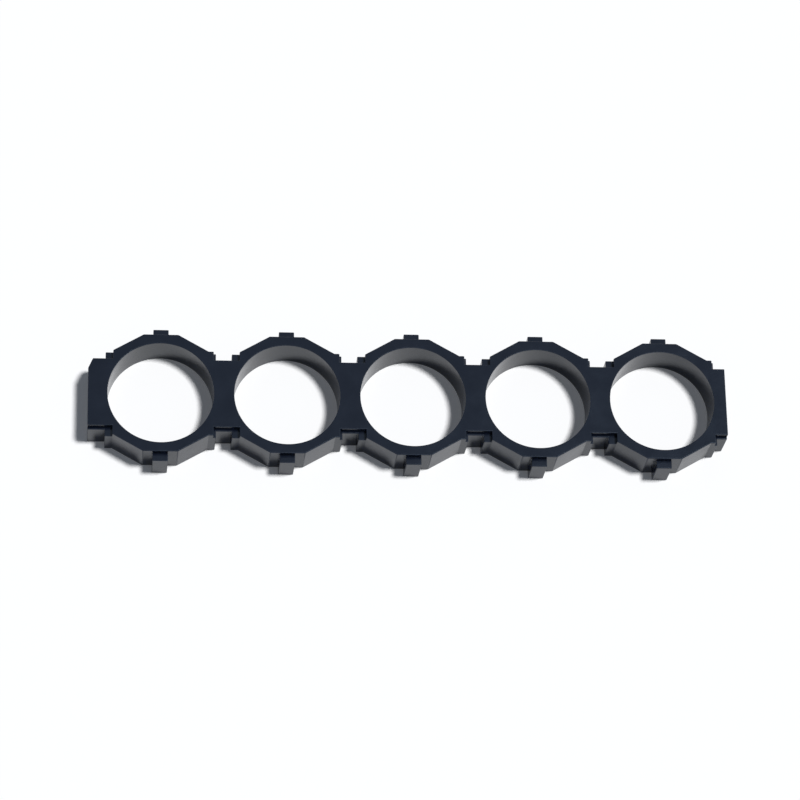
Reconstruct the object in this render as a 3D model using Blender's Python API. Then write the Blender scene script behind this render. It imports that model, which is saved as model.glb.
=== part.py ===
"""Battery cell bracket: one moulded strip that holds a row of round cells side by side.

The strip is a row of honeycomb lobes, one bore to a lobe. Each lobe is a hexagon whose
points face front and back. The points are cut flat and carry a small tab, and the valleys
between lobes hold a notch, so that two strips laid side by side lock into each other.

Metres, +Z up, the cells stand along Z, the row runs along X. The origin is the middle of
the underside. Front and back are alike, but for the back left corner, which is cut off.
"""

import math

import bmesh
import bpy

MM = 0.001

# The cells and the row
CELL_COUNT = 5
CELL_DIAMETER = 18.0 * MM
CELL_CLEARANCE = 0.3 * MM        # on the diameter, so that a cell slides in
WEB = 3.5 * MM                   # wall between two bores, where they come closest
HEIGHT = 7.0 * MM

# The lobes' points and the tabs on them
APEX_WALL = 1.65 * MM            # wall between a bore and the flat end of its lobe
TAB_WIDTH = 2.65 * MM
TAB_REACH = 1.35 * MM            # from the flat end of the lobe to the tab's tip
STEP_DEPTH = 1.15 * MM           # tabs and notch ledges lie this far below the top

# The fit between two strips
FACE_CLEARANCE = 0.1 * MM        # between the slopes of two lobes that meet
APEX_CLEARANCE = 0.3 * MM        # the flat end of a lobe to the shoulders it faces
TAB_CLEARANCE = 0.15 * MM        # a tab's tip to the floor of its notch
NOTCH_CLEARANCE = 0.1 * MM       # on the notch's width

# The pocket round the top of each notch, wider to the right than to the left
POCKET_LEFT = 1.8 * MM           # from the middle of the valley to the pocket's left edge
POCKET_RIGHT = 2.65 * MM         # and to its right edge
POCKET_SETBACK = 0.4 * MM        # the pocket's floor lies this much behind the notch's

# The two ends of the row
LEFT_STOCK = 1.6 * MM            # left end wall beyond the middle of the last valley
RIGHT_STOCK = 0.4 * MM           # right end wall beyond the middle of the last valley
CORNER_X = 0.8 * MM              # the cut corner, along the row
CORNER_Y = 1.8 * MM              # and across it

# Broken edges
EDGE_BREAK = 0.12 * MM           # top edge of the outline and of the tabs
MOUTH_CHAMFER = 0.12 * MM        # lead-in at the top of each bore
SHARP_ANGLE = math.radians(28.0) # faces that meet more steeply than this keep a sharp edge

# How finely the round shapes are cut
BORE_SEGMENTS = 96

# How far a cutter runs past the face that it cuts
CUT_OVERRUN = 1.0 * MM

# Sizes that follow
BORE_RADIUS = (CELL_DIAMETER + CELL_CLEARANCE) / 2
PITCH = 2 * BORE_RADIUS + WEB
ROOT_3 = math.sqrt(3.0)
SLOPE_POINT = (PITCH - FACE_CLEARANCE) / ROOT_3   # where a lobe's slopes would meet
ROW_PITCH = PITCH * ROOT_3 / 2                    # from one strip to the next
APEX_HALF = BORE_RADIUS + APEX_WALL
TAB_HALF = APEX_HALF + TAB_REACH
SHOULDER_HALF = ROW_PITCH - APEX_HALF - APEX_CLEARANCE
NOTCH_FLOOR_HALF = ROW_PITCH - TAB_HALF - TAB_CLEARANCE
POCKET_FLOOR_HALF = NOTCH_FLOOR_HALF - POCKET_SETBACK
NOTCH_HALF = (TAB_WIDTH + NOTCH_CLEARANCE) / 2
LENGTH = CELL_COUNT * PITCH + LEFT_STOCK + RIGHT_STOCK
LEFT_X = -LENGTH / 2
RIGHT_X = LENGTH / 2
FIRST_BORE_X = LEFT_X + LEFT_STOCK + PITCH / 2

PLASTIC_COLOUR = (0.017, 0.021, 0.027, 1.0)
PLASTIC_ROUGHNESS = 0.42


def clear_scene():
    """Remove whatever the open scene holds."""
    for obj in list(bpy.data.objects):
        bpy.data.objects.remove(obj, do_unlink=True)


def bore_centres():
    """The X of each bore's axis."""
    return [FIRST_BORE_X + index * PITCH for index in range(CELL_COUNT)]


def slope_x(half_y):
    """How far a lobe's slope is from its axis along X, at a distance half_y along Y."""
    return (SLOPE_POINT - half_y) * ROOT_3


def lobe_side(gap, floor_half, tab):
    """One side of a lobe, from the valley's floor to the lobe's middle, as distances."""
    reach = PITCH / 2 - gap
    points = [
        (reach, floor_half),
        (reach, SHOULDER_HALF),
        (slope_x(SHOULDER_HALF), SHOULDER_HALF),
        (slope_x(APEX_HALF), APEX_HALF),
    ]
    if tab:
        points += [(TAB_WIDTH / 2, APEX_HALF), (TAB_WIDTH / 2, TAB_HALF)]
    return points


def left_corner(floor_half, cut):
    """The outline's left end, whole or with its corner cut off."""
    if not cut:
        return [(LEFT_X, floor_half)]
    return [(LEFT_X, floor_half - CORNER_Y), (LEFT_X + CORNER_X, floor_half)]


def half_profile(left_gap, right_gap, floor_half, tab, cut):
    """Half of the outline, left to right, as (x, distance from the bores' line).

    The gaps are what each valley loses to the left and to the right of its middle.
    """
    towards_left = lobe_side(right_gap, floor_half, tab)
    towards_right = lobe_side(left_gap, floor_half, tab)
    points = left_corner(floor_half, cut)
    for centre in bore_centres():
        points += [(centre - x, y) for x, y in towards_left]
        points += [(centre + x, y) for x, y in reversed(towards_right)]
    points.append((RIGHT_X, floor_half))
    return points


def outline(left_gap, right_gap, floor_half, tab):
    """The closed outline, anticlockwise seen from above."""
    front = half_profile(left_gap, right_gap, floor_half, tab, cut=False)
    back = half_profile(left_gap, right_gap, floor_half, tab, cut=True)
    return [(x, -y) for x, y in front] + list(reversed(back))


def inset(points, distance):
    """Move every side of an anticlockwise outline inwards, and meet the sides again."""
    moved = []
    count = len(points)
    for index in range(count):
        before = points[index - 1]
        here = points[index]
        after = points[(index + 1) % count]
        first = unit(here[0] - before[0], here[1] - before[1])
        second = unit(after[0] - here[0], after[1] - here[1])
        cross = first[0] * second[1] - first[1] * second[0]
        dot = first[0] * second[0] + first[1] * second[1]
        slide = distance * (1 - dot) / cross
        x = here[0] - first[1] * distance - first[0] * slide
        y = here[1] + first[0] * distance - first[1] * slide
        moved.append((x, y))
    return moved


def unit(x, y):
    """The direction of (x, y)."""
    length = math.hypot(x, y)
    return (x / length, y / length)


def circle(radius, centre_x):
    """Points round a circle on the bores' line, anticlockwise."""
    step = 2 * math.pi / BORE_SEGMENTS
    return [(centre_x + radius * math.cos(i * step), radius * math.sin(i * step))
            for i in range(BORE_SEGMENTS)]


def skin_levels(mesh, levels):
    """Add one closed solid that runs through levels, a list of (outline, z) going up."""
    rings = []
    for points, z in levels:
        rings.append([mesh.verts.new((x, y, z)) for x, y in points])
    for lower, upper in zip(rings, rings[1:]):
        for index in range(len(lower)):
            following = (index + 1) % len(lower)
            mesh.faces.new((lower[index], lower[following], upper[following], upper[index]))
    mesh.faces.new(reversed(rings[0]))
    mesh.faces.new(rings[-1])


def new_object(name, solids):
    """One object from a list of solids, each a list of levels."""
    mesh = bmesh.new()
    for levels in solids:
        skin_levels(mesh, levels)
    data = bpy.data.meshes.new(name)
    mesh.to_mesh(data)
    mesh.free()
    obj = bpy.data.objects.new(name, data)
    bpy.context.scene.collection.objects.link(obj)
    return obj


def broken_edge_levels(points, top):
    """An outline raised from the underside to top, its top edge broken."""
    return [(points, 0.0), (points, top - EDGE_BREAK), (inset(points, EDGE_BREAK), top)]


def bore_levels(centre_x):
    """A bore with its lead-in, running out past both faces."""
    mouth = BORE_RADIUS + MOUTH_CHAMFER
    return [
        (circle(BORE_RADIUS, centre_x), -CUT_OVERRUN),
        (circle(BORE_RADIUS, centre_x), HEIGHT - MOUTH_CHAMFER),
        (circle(mouth, centre_x), HEIGHT),
        (circle(mouth + CUT_OVERRUN, centre_x), HEIGHT + CUT_OVERRUN),
    ]


def combine(body, other, operation):
    """Join other to body, or cut it out of body, and keep it as a hidden guide."""
    modifier = body.modifiers.new(other.name, "BOOLEAN")
    modifier.operation = operation
    modifier.solver = "EXACT"
    modifier.object = other
    other.hide_render = True
    other.display_type = "WIRE"


def moulded_plastic():
    """Black moulded plastic with a satin face."""
    material = bpy.data.materials.new("moulded_plastic")
    material.use_nodes = True
    shader = material.node_tree.nodes["Principled BSDF"]
    shader.inputs["Base Color"].default_value = PLASTIC_COLOUR
    shader.inputs["Roughness"].default_value = PLASTIC_ROUGHNESS
    shader.inputs["Metallic"].default_value = 0.0
    return material


def build_bracket():
    """The strip: its top level, its lower level with the tabs, and the bores."""
    top_outline = outline(POCKET_LEFT, POCKET_RIGHT, POCKET_FLOOR_HALF, tab=False)
    low_outline = outline(NOTCH_HALF, NOTCH_HALF, NOTCH_FLOOR_HALF, tab=True)
    upper = broken_edge_levels(top_outline, HEIGHT)
    lower = broken_edge_levels(low_outline, HEIGHT - STEP_DEPTH)
    bracket = new_object("cell_bracket", [upper])
    combine(bracket, new_object("interlock_level", [lower]), "UNION")

    cutter = new_object("bore_cutter", [bore_levels(centre) for centre in bore_centres()])
    cutter.data.shade_smooth()
    cutter.data.set_sharp_from_angle(angle=SHARP_ANGLE)
    combine(bracket, cutter, "DIFFERENCE")

    bracket.data.materials.append(moulded_plastic())
    return bracket


def main():
    clear_scene()
    build_bracket()


main()
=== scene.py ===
"""Battery cell bracket: the dressed strip, its moulded finish, and a plain studio round it."""

import math

import bmesh
import bpy
from mathutils import Matrix, Vector


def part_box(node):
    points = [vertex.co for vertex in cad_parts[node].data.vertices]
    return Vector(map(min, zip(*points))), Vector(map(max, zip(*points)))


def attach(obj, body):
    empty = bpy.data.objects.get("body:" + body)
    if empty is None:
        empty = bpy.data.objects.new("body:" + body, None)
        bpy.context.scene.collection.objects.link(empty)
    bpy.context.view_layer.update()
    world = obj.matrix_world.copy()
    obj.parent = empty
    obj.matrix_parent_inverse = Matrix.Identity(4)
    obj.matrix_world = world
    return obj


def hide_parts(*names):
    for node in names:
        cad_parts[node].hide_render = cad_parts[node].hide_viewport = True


bl_info = {
    "name": "Battery Cell Bracket",
    "version": (1, 0, 0),
    "blender": (4, 5, 0),
    "location": "3D View > Sidebar > Cell Bracket",
    "description": "Builds a moulded honeycomb bracket for round battery cells",
    "category": "Add Mesh",
}

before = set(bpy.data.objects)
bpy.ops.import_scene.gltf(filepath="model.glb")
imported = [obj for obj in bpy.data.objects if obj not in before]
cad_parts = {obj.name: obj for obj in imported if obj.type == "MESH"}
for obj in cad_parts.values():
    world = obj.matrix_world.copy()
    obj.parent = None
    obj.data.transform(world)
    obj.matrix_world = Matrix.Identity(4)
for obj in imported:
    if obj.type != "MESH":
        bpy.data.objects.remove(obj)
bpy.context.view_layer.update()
STRIP_LOW, STRIP_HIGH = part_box("cell_bracket")

MM = 0.001
ROOT_3 = math.sqrt(3.0)

# How the strip is put together and cut
OVERLAP = 0.05 * MM                 # how far two lobes run into each other, to join as one solid
SLIVER = 0.05 * MM                  # a flat narrower than this is left out, to round its edges well
CORE_LENGTH = 2.0                   # length of a bore's cutter, in heights of the strip
PIN_SIDES = 40                      # flats that make an ejector mark
LEAST_FACES = 100                   # a strip with fewer faces than this has failed

# How the cut mesh is cleaned and its edges rounded
SAME_POINT = 0.001 * MM             # points closer than this become one
SAME_FLAT = math.radians(0.4)       # faces that turn less than this become one
ON_WALL = 0.01 * MM                 # how near to a bore's radius a point lies on its wall
BROKEN_TURN = math.radians(25.0)    # outward edges that turn more than this are rounded
ROUND_PROFILE = 0.5                 # a quarter of a circle
ROUNDED_TURN = math.radians(40.0)   # outward edges that turn less than this are shaded smooth
CORNER_TURN = math.radians(20.0)    # inward corners that turn more than this stay crisp
WEIGHT_LAYER = "__mod_weightednormals_faceweight"    # where shading looks for a face's weight
FLAT_WEIGHT = 16384                 # the weight of a flat, so that it is shaded flat to its edge

# The plastic's patterns: their scale in waves to the metre, how many layers, how rough
CLOUDS = {"Scale": 110.0, "Detail": 4.0, "Roughness": 0.55}
SCUFFS = {"Scale": 420.0, "Detail": 3.0, "Roughness": 0.6}
SHEEN = {"Scale": 260.0, "Detail": 5.0, "Roughness": 0.6}
GRAIN = {"Detail": 2.0, "Roughness": 0.5}
SHEEN_LOW = 0.25                    # the sheen pattern's value where the plastic is glossiest
SHEEN_HIGH = 0.75                   # and where it is dullest
GLOSSIER = 0.05                     # how far the roughness falls there
DULLER = 0.06                       # and rises
SPECULAR_LEVEL = 0.28               # how strongly the plastic reflects
MIX_FIRST = 6                       # a colour Mix node's inputs and output, by number
MIX_SECOND = 7
MIX_RESULT = 2

# The stage and the camera
FLOOR_GAP = 0.02 * MM               # the floor lies this far under the strip
FILM_WIDTH = 36.0                   # in millimetres, as the lens
NEAREST_SEEN = 0.01                 # the camera shows nothing nearer than this


# What a user would change


class StripSizes(bpy.types.PropertyGroup):
    """The strip's sizes, the same as the solids'."""

    cell_count: bpy.props.IntProperty(
        name="Cells", description="How many cells the strip holds",
        default=5, min=1, max=12)
    bore_radius: bpy.props.FloatProperty(
        name="Bore radius", description="Radius of the bore that a cell stands in",
        default=9.15 * MM, unit="LENGTH", subtype="DISTANCE")
    web: bpy.props.FloatProperty(
        name="Web", description="Wall between two bores, where they come closest",
        default=3.5 * MM, unit="LENGTH", subtype="DISTANCE")
    height: bpy.props.FloatProperty(
        name="Height", description="Height of the strip",
        default=STRIP_HIGH.z - STRIP_LOW.z, unit="LENGTH", subtype="DISTANCE")
    apex_wall: bpy.props.FloatProperty(
        name="End wall", description="Wall between a bore and the flat end of its lobe",
        default=1.65 * MM, unit="LENGTH", subtype="DISTANCE")
    tab_width: bpy.props.FloatProperty(
        name="Tab width", description="Width of the tab on a lobe's flat end",
        default=2.65 * MM, unit="LENGTH", subtype="DISTANCE")
    tab_reach: bpy.props.FloatProperty(
        name="Tab reach", description="How far a tab stands out",
        default=1.35 * MM, unit="LENGTH", subtype="DISTANCE")
    step_depth: bpy.props.FloatProperty(
        name="Step", description="How far tabs and notch ledges lie below the top face",
        default=1.15 * MM, unit="LENGTH", subtype="DISTANCE")
    face_clearance: bpy.props.FloatProperty(
        name="Face clearance", description="Gap between the slopes of two strips' lobes",
        default=0.1 * MM, unit="LENGTH", subtype="DISTANCE")
    apex_clearance: bpy.props.FloatProperty(
        name="End clearance", description="Gap between a lobe's flat end and the shoulders it faces",
        default=0.3 * MM, unit="LENGTH", subtype="DISTANCE")
    tab_clearance: bpy.props.FloatProperty(
        name="Tab clearance", description="Gap between a tab's tip and its notch",
        default=0.15 * MM, unit="LENGTH", subtype="DISTANCE")
    notch_clearance: bpy.props.FloatProperty(
        name="Notch clearance", description="How much wider a notch is than a tab",
        default=0.1 * MM, unit="LENGTH", subtype="DISTANCE")
    pocket_left: bpy.props.FloatProperty(
        name="Pocket left", description="From the middle of a valley to its pocket's left edge",
        default=1.8 * MM, unit="LENGTH", subtype="DISTANCE")
    pocket_right: bpy.props.FloatProperty(
        name="Pocket right", description="From the middle of a valley to its pocket's right edge",
        default=2.65 * MM, unit="LENGTH", subtype="DISTANCE")
    pocket_setback: bpy.props.FloatProperty(
        name="Pocket setback", description="How far the pocket's floor lies behind the notch's",
        default=0.4 * MM, unit="LENGTH", subtype="DISTANCE")
    left_stock: bpy.props.FloatProperty(
        name="Left end wall", description="Left end wall beyond the middle of the last valley",
        default=1.6 * MM, unit="LENGTH", subtype="DISTANCE")
    corner_x: bpy.props.FloatProperty(
        name="Cut corner along", description="The cut corner's length along the row",
        default=0.8 * MM, unit="LENGTH", subtype="DISTANCE")
    corner_y: bpy.props.FloatProperty(
        name="Cut corner across", description="The cut corner's length across the row",
        default=1.8 * MM, unit="LENGTH", subtype="DISTANCE")


class MouldSizes(bpy.types.PropertyGroup):
    """What the mould leaves on the strip."""

    edge_radius: bpy.props.FloatProperty(
        name="Edge radius", description="Rounding of the outer edges",
        default=0.12 * MM, unit="LENGTH", subtype="DISTANCE")
    mouth_radius: bpy.props.FloatProperty(
        name="Mouth radius", description="Rounding of the bores' edges",
        default=0.08 * MM, unit="LENGTH", subtype="DISTANCE")
    edge_steps: bpy.props.IntProperty(
        name="Edge steps", description="How many flats make a rounded edge",
        default=3, min=1, max=8)
    bore_sides: bpy.props.IntProperty(
        name="Bore sides", description="How many flats make a bore",
        default=128, min=24, max=512)
    pin_radius: bpy.props.FloatProperty(
        name="Pin mark radius", description="Radius of the ejector marks on the underside",
        default=1.05 * MM, unit="LENGTH", subtype="DISTANCE")
    pin_depth: bpy.props.FloatProperty(
        name="Pin mark depth", description="Depth of the ejector marks",
        default=0.06 * MM, unit="LENGTH", subtype="DISTANCE")


class PlasticFinish(bpy.types.PropertyGroup):
    """The moulded plastic's colours and grain."""

    body: bpy.props.FloatVectorProperty(
        name="Body", description="Colour of the plastic",
        subtype="COLOR", size=3, min=0, max=1, default=(0.0008, 0.0020, 0.0080))
    cloud: bpy.props.FloatVectorProperty(
        name="Cloud", description="Colour where the plastic is a little paler",
        subtype="COLOR", size=3, min=0, max=1, default=(0.0014, 0.0030, 0.0098))
    rubbed: bpy.props.FloatVectorProperty(
        name="Rubbed edge", description="Colour of the rounded edges",
        subtype="COLOR", size=3, min=0, max=1, default=(0.0018, 0.0034, 0.0100))
    roughness: bpy.props.FloatProperty(
        name="Roughness", description="Middle roughness of the satin face",
        default=0.20, min=0, max=1)
    edge_roughness: bpy.props.FloatProperty(
        name="Edge roughness", description="How much rougher the rounded edges are",
        default=0.18, min=0, max=1)
    gloss_tint: bpy.props.FloatVectorProperty(
        name="Gloss tint", description="Colour of what the plastic reflects when seen straight on",
        subtype="COLOR", size=3, min=0, max=1, default=(0.60, 0.75, 0.93))
    grain: bpy.props.FloatProperty(
        name="Grain", description="Size of the mould's fine grain",
        default=0.24 * MM, unit="LENGTH", subtype="DISTANCE")
    grain_depth: bpy.props.FloatProperty(
        name="Grain depth", description="Depth of the mould's fine grain",
        default=0.025 * MM, unit="LENGTH", subtype="DISTANCE")
    grain_strength: bpy.props.FloatProperty(
        name="Grain strength", description="How strongly the grain turns the light",
        default=0.4, min=0, max=1)


class StudioSettings(bpy.types.PropertyGroup):
    """The stage, the light and the camera."""

    floor: bpy.props.FloatVectorProperty(
        name="Floor", description="Colour of the floor",
        subtype="COLOR", size=3, min=0, max=1, default=(0.96, 0.96, 0.96))
    floor_lift: bpy.props.FloatProperty(
        name="Floor lift", description="What the floor shows beyond its lit colour",
        default=0.06, min=0, max=1)
    floor_span: bpy.props.FloatProperty(
        name="Floor span", description="Width of the floor",
        default=6.0, unit="LENGTH", subtype="DISTANCE")
    sky: bpy.props.FloatVectorProperty(
        name="Sky", description="Colour of the soft light all round",
        subtype="COLOR", size=3, min=0, max=1, default=(0.62, 0.77, 1.0))
    sky_strength: bpy.props.FloatProperty(
        name="Sky strength", description="Strength of the soft light all round",
        default=0.10, min=0)
    key_azimuth: bpy.props.FloatProperty(
        name="Key azimuth", description="The key lamp's turn from straight in front, to the right",
        default=math.radians(96.0), unit="ROTATION", subtype="ANGLE")
    key_elevation: bpy.props.FloatProperty(
        name="Key elevation", description="The key lamp's height above the floor",
        default=math.radians(72.0), unit="ROTATION", subtype="ANGLE")
    key_strength: bpy.props.FloatProperty(
        name="Key strength", description="Strength of the key lamp",
        default=3.0, min=0)
    key_spread: bpy.props.FloatProperty(
        name="Key spread", description="Apparent width of the key lamp, which softens the shadow",
        default=math.radians(9.0), unit="ROTATION", subtype="ANGLE")
    camera_azimuth: bpy.props.FloatProperty(
        name="Camera azimuth", description="The camera's turn from straight in front",
        default=math.radians(-14.02), unit="ROTATION", subtype="ANGLE")
    camera_elevation: bpy.props.FloatProperty(
        name="Camera elevation", description="The camera's height above the floor",
        default=math.radians(67.54), unit="ROTATION", subtype="ANGLE")
    camera_roll: bpy.props.FloatProperty(
        name="Camera roll", description="How far the camera is tipped to one side",
        default=math.radians(13.95), unit="ROTATION", subtype="ANGLE")
    camera_distance: bpy.props.FloatProperty(
        name="Camera distance", description="From the camera to the point that it looks at",
        default=0.60957, unit="LENGTH", subtype="DISTANCE")
    camera_target: bpy.props.FloatVectorProperty(
        name="Camera target", description="The point that the camera looks at",
        size=3, default=(-0.00131, 0.00092, 0.003), unit="LENGTH", subtype="TRANSLATION")
    lens: bpy.props.FloatProperty(
        name="Lens", description="Focal length on a 36 mm wide frame, in millimetres",
        default=157.5, min=1)


# Small helpers


def drop_object(name):
    """Remove an earlier object of this name, so that an operator can be run again."""
    old = bpy.data.objects.get(name)
    if old is not None:
        bpy.data.objects.remove(old, do_unlink=True)


def add_object(name, data):
    """A new object in the scene."""
    drop_object(name)
    obj = bpy.data.objects.new(name, data)
    bpy.context.scene.collection.objects.link(obj)
    return obj


def new_node(tree, kind, **settings):
    """A node of a kind, with its own settings."""
    node = tree.nodes.new(kind)
    for key, value in settings.items():
        setattr(node, key, value)
    return node


def feed(tree, node, values):
    """Give a node's inputs, by name or number, a value or another node's output."""
    for key, value in values.items():
        if isinstance(value, bpy.types.NodeSocket):
            tree.links.new(value, node.inputs[key])
        else:
            node.inputs[key].default_value = value
    return node


def set_modifier_input(modifier, tree, name, value):
    """Set a geometry tree's named input by its identifier."""
    for item in tree.interface.items_tree:
        if item.item_type == "SOCKET" and item.in_out == "INPUT" and item.name == name:
            modifier[item.identifier] = value
            return
    raise RuntimeError(f"the tree has no input named {name}")


# The strip's outline


class Plan:
    """The lengths of the strip's plan that follow from its sizes."""

    def __init__(self, sizes):
        self.sizes = sizes
        self.pitch = 2 * sizes.bore_radius + sizes.web
        self.half_pitch = self.pitch / 2
        row_pitch = self.pitch * ROOT_3 / 2
        self.slope_point = (self.pitch - sizes.face_clearance) / ROOT_3
        self.apex = sizes.bore_radius + sizes.apex_wall
        self.tab_tip = self.apex + sizes.tab_reach
        self.shoulder = row_pitch - self.apex - sizes.apex_clearance
        self.notch_floor = row_pitch - self.tab_tip - sizes.tab_clearance
        self.pocket_floor = self.notch_floor - sizes.pocket_setback
        self.notch_half = (sizes.tab_width + sizes.notch_clearance) / 2
        self.left_x = STRIP_LOW.x
        self.right_x = STRIP_HIGH.x
        self.first_bore_x = self.left_x + sizes.left_stock + self.half_pitch
        self.top = STRIP_LOW.z + sizes.height
        self.ledge = self.top - sizes.step_depth

    def slope_x(self, half_y):
        """How far a lobe's slope is from its axis along X, at a distance half_y along Y."""
        return (self.slope_point - half_y) * ROOT_3

    def lobe_side(self, gap, floor, tab):
        """One side of a lobe, from just past the valley to the lobe's middle, as distances."""
        reach = self.half_pitch - gap
        shoulder_end = self.slope_x(self.shoulder)
        if abs(reach - shoulder_end) < SLIVER:
            reach = shoulder_end
        points = [
            (self.half_pitch + OVERLAP, floor),
            (reach, floor),
            (reach, self.shoulder),
        ]
        if reach > shoulder_end:
            points.append((shoulder_end, self.shoulder))
        points.append((self.slope_x(self.apex), self.apex))
        if tab:
            half = self.sizes.tab_width / 2
            points += [(half, self.apex), (half, self.tab_tip)]
        return points

    def lobe(self, left_gap, right_gap, floor, tab):
        """One lobe's closed outline round its own axis, anticlockwise from above."""
        half = [(-x, y) for x, y in self.lobe_side(right_gap, floor, tab)]
        half += [(x, y) for x, y in reversed(self.lobe_side(left_gap, floor, tab))]
        return [(x, -y) for x, y in half] + list(reversed(half))

    def left_end(self, floor):
        """The left end wall's outline, with its back corner cut off."""
        valley = self.first_bore_x - self.half_pitch
        return [
            (self.left_x, -floor),
            (valley, -floor),
            (valley, floor),
            (self.left_x + self.sizes.corner_x, floor),
            (self.left_x, floor - self.sizes.corner_y),
        ]

    def right_end(self, floor):
        """The right end wall's outline."""
        valley = self.first_bore_x + (self.sizes.cell_count - 0.5) * self.pitch
        return [
            (valley, -floor),
            (self.right_x, -floor),
            (self.right_x, floor),
            (valley, floor),
        ]


def add_prism(mesh, points, bottom, top):
    """Add one closed upright solid on an anticlockwise outline."""
    low = [mesh.verts.new((x, y, bottom)) for x, y in points]
    high = [mesh.verts.new((x, y, top)) for x, y in points]
    for index in range(len(points)):
        after = (index + 1) % len(points)
        mesh.faces.new((low[index], low[after], high[after], high[index]))
    mesh.faces.new(reversed(low))
    mesh.faces.new(high)


def prisms_object(name, solids):
    """An object of upright solids, each an outline with its lowest and highest Z."""
    mesh = bmesh.new()
    for points, bottom, top in solids:
        add_prism(mesh, points, bottom, top)
    data = bpy.data.meshes.new(name)
    mesh.to_mesh(data)
    mesh.free()
    return add_object(name, data)


# The geometry tree that repeats the lobes and cuts the bores


def strip_tree():
    """Lobes in a row, joined to the end walls, with a bore in each and marks in the webs."""
    tree = bpy.data.node_groups.new("honeycomb_strip", "GeometryNodeTree")
    sockets = [
        ("End walls", "NodeSocketGeometry"),
        ("Lobe", "NodeSocketObject"),
        ("Cells", "NodeSocketInt"),
        ("Pitch", "NodeSocketFloat"),
        ("First bore", "NodeSocketFloat"),
        ("Height", "NodeSocketFloat"),
        ("Bore radius", "NodeSocketFloat"),
        ("Bore sides", "NodeSocketInt"),
        ("Pin radius", "NodeSocketFloat"),
        ("Pin depth", "NodeSocketFloat"),
        ("Finish", "NodeSocketMaterial"),
    ]
    for name, kind in sockets:
        tree.interface.new_socket(name=name, in_out="INPUT", socket_type=kind)
    tree.interface.new_socket(name="Strip", in_out="OUTPUT", socket_type="NodeSocketGeometry")
    given = new_node(tree, "NodeGroupInput").outputs
    result = new_node(tree, "NodeGroupOutput")

    step = feed(tree, new_node(tree, "ShaderNodeCombineXYZ"), {"X": given["Pitch"]})
    start = feed(tree, new_node(tree, "ShaderNodeCombineXYZ"), {"X": given["First bore"]})
    row = feed(tree, new_node(tree, "GeometryNodeMeshLine", mode="OFFSET"), {
        "Count": given["Cells"], "Start Location": start.outputs[0], "Offset": step.outputs[0]})

    lobe = feed(tree, new_node(tree, "GeometryNodeObjectInfo"), {"Object": given["Lobe"]})
    lobes = feed(tree, new_node(tree, "GeometryNodeInstanceOnPoints"), {
        "Points": row.outputs[0], "Instance": lobe.outputs["Geometry"]})
    placed_lobes = feed(tree, new_node(tree, "GeometryNodeRealizeInstances"), {
        0: lobes.outputs[0]})
    joined = new_node(tree, "GeometryNodeJoinGeometry")
    tree.links.new(placed_lobes.outputs[0], joined.inputs[0])
    tree.links.new(given["End walls"], joined.inputs[0])
    body = new_node(tree, "GeometryNodeMeshBoolean", operation="UNION", solver="EXACT")
    feed(tree, body, {"Mesh 2": joined.outputs[0], "Self Intersection": True})

    depth = feed(tree, new_node(tree, "ShaderNodeMath", operation="MULTIPLY"), {
        0: given["Height"], 1: CORE_LENGTH})
    middle = feed(tree, new_node(tree, "ShaderNodeMath", operation="MULTIPLY"), {
        0: given["Height"], 1: 0.5})
    lift = feed(tree, new_node(tree, "ShaderNodeCombineXYZ"), {"Z": middle.outputs[0]})
    core = feed(tree, new_node(tree, "GeometryNodeMeshCylinder"), {
        "Vertices": given["Bore sides"], "Radius": given["Bore radius"],
        "Depth": depth.outputs[0]})
    raised = feed(tree, new_node(tree, "GeometryNodeTransform"), {
        "Geometry": core.outputs["Mesh"], "Translation": lift.outputs[0]})
    cores = feed(tree, new_node(tree, "GeometryNodeInstanceOnPoints"), {
        "Points": row.outputs[0], "Instance": raised.outputs[0]})
    placed_cores = feed(tree, new_node(tree, "GeometryNodeRealizeInstances"), {
        0: cores.outputs[0]})

    half_step = feed(tree, new_node(tree, "ShaderNodeVectorMath", operation="SCALE"), {
        0: step.outputs[0], "Scale": 0.5})
    first_web = feed(tree, new_node(tree, "ShaderNodeVectorMath", operation="ADD"), {
        0: start.outputs[0], 1: half_step.outputs[0]})
    webs = feed(tree, new_node(tree, "ShaderNodeMath", operation="SUBTRACT"), {
        0: given["Cells"], 1: 1.0})
    web_row = feed(tree, new_node(tree, "GeometryNodeMeshLine", mode="OFFSET"), {
        "Count": webs.outputs[0], "Start Location": first_web.outputs[0],
        "Offset": step.outputs[0]})
    pin_height = feed(tree, new_node(tree, "ShaderNodeMath", operation="MULTIPLY"), {
        0: given["Pin depth"], 1: 2.0})
    pin = feed(tree, new_node(tree, "GeometryNodeMeshCylinder"), {
        "Vertices": PIN_SIDES, "Radius": given["Pin radius"], "Depth": pin_height.outputs[0]})
    pins = feed(tree, new_node(tree, "GeometryNodeInstanceOnPoints"), {
        "Points": web_row.outputs[0], "Instance": pin.outputs["Mesh"]})
    placed_pins = feed(tree, new_node(tree, "GeometryNodeRealizeInstances"), {
        0: pins.outputs[0]})

    cut = new_node(tree, "GeometryNodeMeshBoolean", operation="DIFFERENCE", solver="EXACT")
    feed(tree, cut, {"Mesh 1": body.outputs[0]})
    tree.links.new(placed_cores.outputs[0], cut.inputs["Mesh 2"])
    tree.links.new(placed_pins.outputs[0], cut.inputs["Mesh 2"])
    real = feed(tree, new_node(tree, "GeometryNodeRealizeInstances"), {0: cut.outputs[0]})
    dressed = feed(tree, new_node(tree, "GeometryNodeSetMaterial"), {
        "Geometry": real.outputs[0], "Material": given["Finish"]})
    tree.links.new(dressed.outputs[0], result.inputs[0])
    return tree


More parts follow.
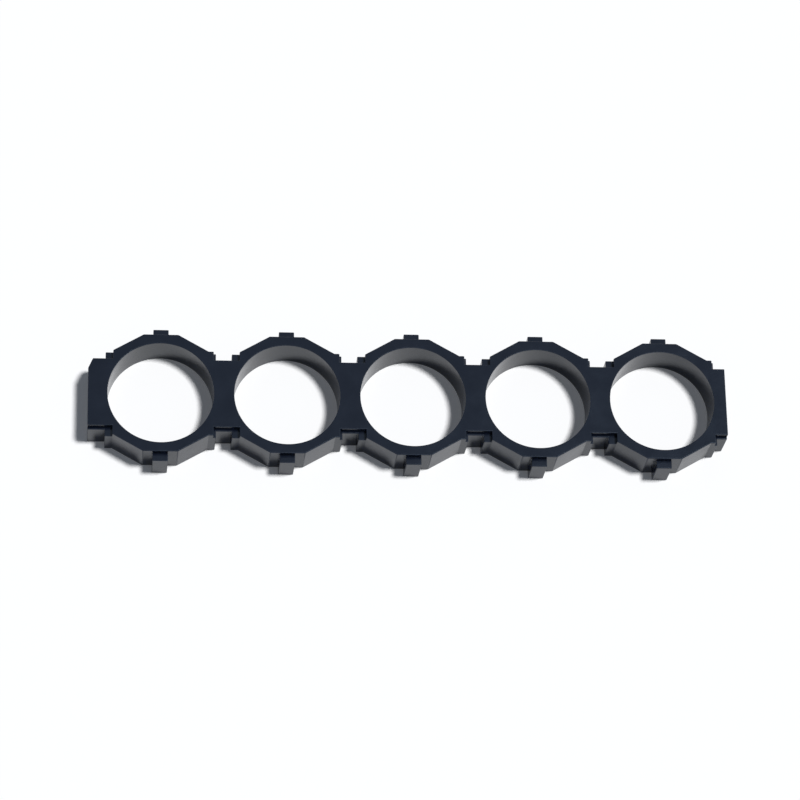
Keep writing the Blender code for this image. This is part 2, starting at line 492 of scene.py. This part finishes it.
def settle(obj, material):
    """Turn an object's modifiers into a plain mesh of one material."""
    bpy.context.view_layer.update()
    graph = bpy.context.evaluated_depsgraph_get()
    data = bpy.data.meshes.new_from_object(obj.evaluated_get(graph), depsgraph=graph)
    data.name = obj.name
    data.materials.clear()
    data.materials.append(material)
    data.polygons.foreach_set("material_index", [0] * len(data.polygons))
    obj.modifiers.clear()
    obj.data = data
    return data


# Rounded edges


def on_bore_wall(vert, plan):
    """Whether a point lies on one of the bores' walls."""
    index = round((vert.co.x - plan.first_bore_x) / plan.pitch)
    index = min(max(index, 0), plan.sizes.cell_count - 1)
    centre = plan.first_bore_x + index * plan.pitch
    distance = math.hypot(vert.co.x - centre, vert.co.y)
    return abs(distance - plan.sizes.bore_radius) < ON_WALL


def round_edges(data, plan, mould):
    """Clean the cut mesh, round its outward edges, mark the rounded faces and shade them."""
    mesh = bmesh.new()
    mesh.from_mesh(data)
    bmesh.ops.remove_doubles(mesh, verts=mesh.verts, dist=SAME_POINT)
    bmesh.ops.dissolve_limit(mesh, angle_limit=SAME_FLAT, verts=mesh.verts, edges=mesh.edges)
    bmesh.ops.recalc_face_normals(mesh, faces=mesh.faces)
    rounded = mesh.faces.layers.float.new("rounded")

    steep = [edge for edge in mesh.edges
             if edge.is_manifold and edge.is_convex
             and edge.calc_face_angle() > BROKEN_TURN]
    mouths = []
    outer = []
    for edge in steep:
        if all(on_bore_wall(vert, plan) for vert in edge.verts):
            mouths.append(edge)
        else:
            outer.append(edge)
    for edges, radius in ((mouths, mould.mouth_radius), (outer, mould.edge_radius)):
        made = bmesh.ops.bevel(mesh, geom=edges, offset=radius, offset_type="OFFSET",
                               segments=mould.edge_steps, profile=ROUND_PROFILE, affect="EDGES",
                               clamp_overlap=False, loop_slide=True, material=-1)
        for face in made["faces"]:
            face[rounded] = 1.0
    weight = mesh.faces.layers.int.new(WEIGHT_LAYER)
    for face in mesh.faces:
        face.smooth = True
        face[weight] = -FLAT_WEIGHT if face[rounded] else FLAT_WEIGHT
    for edge in mesh.edges:
        limit = ROUNDED_TURN if edge.is_convex else CORNER_TURN
        edge.smooth = edge.calc_face_angle() < limit
    mesh.to_mesh(data)
    mesh.free()


# The plastic


def moulded_plastic(finish):
    """Dark satin plastic: cloudy body colour, fine grain, paler rubbed edges."""
    material = bpy.data.materials.new("moulded_plastic")
    material.use_nodes = True
    tree = material.node_tree
    shader = tree.nodes["Principled BSDF"]
    place = new_node(tree, "ShaderNodeTexCoord").outputs["Object"]

    clouds = feed(tree, new_node(tree, "ShaderNodeTexNoise"), {"Vector": place, **CLOUDS})
    body = feed(tree, new_node(tree, "ShaderNodeMix", data_type="RGBA"), {
        "Factor": clouds.outputs["Fac"],
        MIX_FIRST: (*finish.body, 1.0), MIX_SECOND: (*finish.cloud, 1.0)})

    flag = new_node(tree, "ShaderNodeAttribute", attribute_name="rounded")
    scuffs = feed(tree, new_node(tree, "ShaderNodeTexNoise"), {"Vector": place, **SCUFFS})
    worn = feed(tree, new_node(tree, "ShaderNodeMath", operation="MULTIPLY", use_clamp=True), {
        0: flag.outputs["Fac"], 1: scuffs.outputs["Fac"]})
    colour = feed(tree, new_node(tree, "ShaderNodeMix", data_type="RGBA"), {
        "Factor": worn.outputs[0],
        MIX_FIRST: body.outputs[MIX_RESULT], MIX_SECOND: (*finish.rubbed, 1.0)})
    tree.links.new(colour.outputs[MIX_RESULT], shader.inputs["Base Color"])

    sheen = feed(tree, new_node(tree, "ShaderNodeTexNoise"), {"Vector": place, **SHEEN})
    satin = feed(tree, new_node(tree, "ShaderNodeMapRange"), {
        "Value": sheen.outputs["Fac"], "From Min": SHEEN_LOW, "From Max": SHEEN_HIGH,
        "To Min": finish.roughness - GLOSSIER, "To Max": finish.roughness + DULLER})
    matt = feed(tree, new_node(tree, "ShaderNodeMath", operation="MULTIPLY_ADD"), {
        0: flag.outputs["Fac"], 1: finish.edge_roughness, 2: satin.outputs[0]})
    tree.links.new(matt.outputs[0], shader.inputs["Roughness"])
    shader.inputs["Specular IOR Level"].default_value = SPECULAR_LEVEL
    shader.inputs["Specular Tint"].default_value = (*finish.gloss_tint, 1.0)

    grain = feed(tree, new_node(tree, "ShaderNodeTexNoise"), {
        "Vector": place, "Scale": 1.0 / finish.grain, **GRAIN})
    bump = feed(tree, new_node(tree, "ShaderNodeBump"), {
        "Height": grain.outputs["Fac"], "Strength": finish.grain_strength,
        "Distance": finish.grain_depth})
    tree.links.new(bump.outputs[0], shader.inputs["Normal"])
    return material


# The stage


def shown_ray(tree):
    """One for a ray that shows the background: from the camera, a gloss or through glass."""
    path = new_node(tree, "ShaderNodeLightPath")
    first = feed(tree, new_node(tree, "ShaderNodeMath", operation="MAXIMUM"), {
        0: path.outputs["Is Camera Ray"], 1: path.outputs["Is Glossy Ray"]})
    both = feed(tree, new_node(tree, "ShaderNodeMath", operation="MAXIMUM"), {
        0: first.outputs[0], 1: path.outputs["Is Transmission Ray"]})
    return both.outputs[0]


def floor_material(studio):
    """A pale floor that shows white where it is lit, and keeps the shadow."""
    material = bpy.data.materials.new("pale_floor")
    material.use_nodes = True
    tree = material.node_tree
    tree.nodes.clear()
    lit = feed(tree, new_node(tree, "ShaderNodeBsdfDiffuse"), {"Color": (*studio.floor, 1.0)})
    lift = feed(tree, new_node(tree, "ShaderNodeMath", operation="MULTIPLY"), {
        0: shown_ray(tree), 1: studio.floor_lift})
    glow = feed(tree, new_node(tree, "ShaderNodeEmission"), {"Strength": lift.outputs[0]})
    both = new_node(tree, "ShaderNodeAddShader")
    tree.links.new(lit.outputs[0], both.inputs[0])
    tree.links.new(glow.outputs[0], both.inputs[1])
    result = new_node(tree, "ShaderNodeOutputMaterial")
    tree.links.new(both.outputs[0], result.inputs["Surface"])
    return material


def build_floor(studio):
    """A wide flat floor just under the strip."""
    half = studio.floor_span / 2
    level = STRIP_LOW.z - FLOOR_GAP
    data = bpy.data.meshes.new("studio_floor")
    corners = [(-half, -half, level), (half, -half, level), (half, half, level),
               (-half, half, level)]
    data.from_pydata(corners, [], [(0, 1, 2, 3)])
    floor = add_object("studio_floor", data)
    floor.data.materials.append(floor_material(studio))


def build_world(studio):
    """Soft light all round, seen as a white background."""
    world = bpy.data.worlds.new("studio_light")
    world.use_nodes = True
    tree = world.node_tree
    tree.nodes.clear()
    light = feed(tree, new_node(tree, "ShaderNodeBackground"), {
        "Color": (*studio.sky, 1.0), "Strength": studio.sky_strength})
    white = feed(tree, new_node(tree, "ShaderNodeBackground"), {
        "Color": (1.0, 1.0, 1.0, 1.0), "Strength": 1.0})
    shown = new_node(tree, "ShaderNodeMixShader")
    tree.links.new(shown_ray(tree), shown.inputs[0])
    tree.links.new(light.outputs[0], shown.inputs[1])
    tree.links.new(white.outputs[0], shown.inputs[2])
    result = new_node(tree, "ShaderNodeOutputWorld")
    tree.links.new(shown.outputs[0], result.inputs["Surface"])
    bpy.context.scene.world = world


def direction(azimuth, elevation):
    """From the strip towards a lamp or the camera."""
    flat = math.cos(elevation)
    return Vector((math.sin(azimuth) * flat, -math.cos(azimuth) * flat, math.sin(elevation)))


def build_key(studio):
    """One soft sun, high on the right."""
    data = bpy.data.lights.new("key_lamp", "SUN")
    data.energy = studio.key_strength
    data.angle = studio.key_spread
    lamp = add_object("key_lamp", data)
    away = direction(studio.key_azimuth, studio.key_elevation)
    lamp.location = away
    lamp.rotation_euler = away.to_track_quat("Z", "Y").to_euler()


def build_camera(studio):
    """The camera at the photograph's viewing angle."""
    data = bpy.data.cameras.new("studio_camera")
    data.lens = studio.lens
    data.sensor_width = FILM_WIDTH
    data.clip_start = NEAREST_SEEN
    camera = add_object("studio_camera", data)
    away = direction(studio.camera_azimuth, studio.camera_elevation)
    right = (-away).cross(Vector((0.0, 0.0, 1.0))).normalized()
    up = right.cross(-away)
    turn = studio.camera_roll
    tipped_right = right * math.cos(turn) + up * math.sin(turn)
    tipped_up = up * math.cos(turn) - right * math.sin(turn)
    frame_axes = Matrix((tipped_right, tipped_up, away)).transposed()
    position = Vector(studio.camera_target) + away * studio.camera_distance
    camera.matrix_world = Matrix.Translation(position) @ frame_axes.to_4x4()
    bpy.context.scene.camera = camera


# Operators


class CELLBRACKET_OT_strip(bpy.types.Operator):
    """Build the moulded strip with its lobes, bores, tabs and notches"""

    bl_idname = "cellbracket.strip"
    bl_label = "Moulded Strip"

    def execute(self, context):
        sizes = context.scene.cellbracket_sizes
        mould = context.scene.cellbracket_mould
        plan = Plan(sizes)
        base = STRIP_LOW.z
        lobe = prisms_object("lobe_form", [
            (plan.lobe(plan.notch_half, plan.notch_half, plan.notch_floor, True),
             base, plan.ledge),
            (plan.lobe(sizes.pocket_left, sizes.pocket_right, plan.pocket_floor, False),
             base, plan.top),
        ])
        strip = prisms_object("moulded_strip", [
            (plan.left_end(plan.notch_floor), base, plan.ledge),
            (plan.left_end(plan.pocket_floor), base, plan.top),
            (plan.right_end(plan.notch_floor), base, plan.ledge),
            (plan.right_end(plan.pocket_floor), base, plan.top),
        ])
        plastic = moulded_plastic(context.scene.cellbracket_finish)
        tree = strip_tree()
        modifier = strip.modifiers.new("honeycomb", "NODES")
        modifier.node_group = tree
        inputs = {
            "Lobe": lobe, "Cells": sizes.cell_count, "Pitch": plan.pitch,
            "First bore": plan.first_bore_x, "Height": sizes.height,
            "Bore radius": sizes.bore_radius, "Bore sides": mould.bore_sides,
            "Pin radius": mould.pin_radius, "Pin depth": mould.pin_depth, "Finish": plastic,
        }
        for name, value in inputs.items():
            set_modifier_input(modifier, tree, name, value)
        data = settle(strip, plastic)
        drop_object("lobe_form")
        if len(data.polygons) < LEAST_FACES:
            raise RuntimeError("the strip came out empty")
        round_edges(data, plan, mould)
        finish = strip.modifiers.new("even_shading", "WEIGHTED_NORMAL")
        finish.keep_sharp = True
        finish.mode = "CORNER_ANGLE"
        finish.use_face_influence = True
        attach(strip, "root")
        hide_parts("cell_bracket")
        return {"FINISHED"}


class CELLBRACKET_OT_studio(bpy.types.Operator):
    """Build the floor, the light and the camera"""

    bl_idname = "cellbracket.studio"
    bl_label = "Studio"

    def execute(self, context):
        studio = context.scene.cellbracket_studio
        build_floor(studio)
        build_world(studio)
        build_key(studio)
        build_camera(studio)
        context.scene.view_settings.view_transform = "Standard"
        return {"FINISHED"}


class CELLBRACKET_PT_panel(bpy.types.Panel):
    """The bracket's pieces, one button each"""

    bl_idname = "CELLBRACKET_PT_panel"
    bl_label = "Cell Bracket"
    bl_space_type = "VIEW_3D"
    bl_region_type = "UI"
    bl_category = "Cell Bracket"

    def draw(self, context):
        layout = self.layout
        for operator in (CELLBRACKET_OT_strip, CELLBRACKET_OT_studio):
            layout.operator(operator.bl_idname)
        for group in SETTINGS:
            box = layout.box()
            settings = getattr(context.scene, group)
            for name in settings.bl_rna.properties.keys():
                if name not in ("name", "rna_type"):
                    box.prop(settings, name)


SETTINGS = {
    "cellbracket_sizes": StripSizes,
    "cellbracket_mould": MouldSizes,
    "cellbracket_finish": PlasticFinish,
    "cellbracket_studio": StudioSettings,
}
CLASSES = (
    StripSizes, MouldSizes, PlasticFinish, StudioSettings,
    CELLBRACKET_OT_strip, CELLBRACKET_OT_studio, CELLBRACKET_PT_panel,
)


def register():
    """Register the classes and their settings."""
    for cls in CLASSES:
        bpy.utils.register_class(cls)
    for name, group in SETTINGS.items():
        setattr(bpy.types.Scene, name, bpy.props.PointerProperty(type=group))


def unregister():
    """Remove the settings and the classes."""
    for name in SETTINGS:
        delattr(bpy.types.Scene, name)
    for cls in reversed(CLASSES):
        bpy.utils.unregister_class(cls)


def main():
    """Build every piece, then the studio."""
    register()
    bpy.ops.cellbracket.strip()
    bpy.ops.cellbracket.studio()


if __name__ == "__main__":
    main()
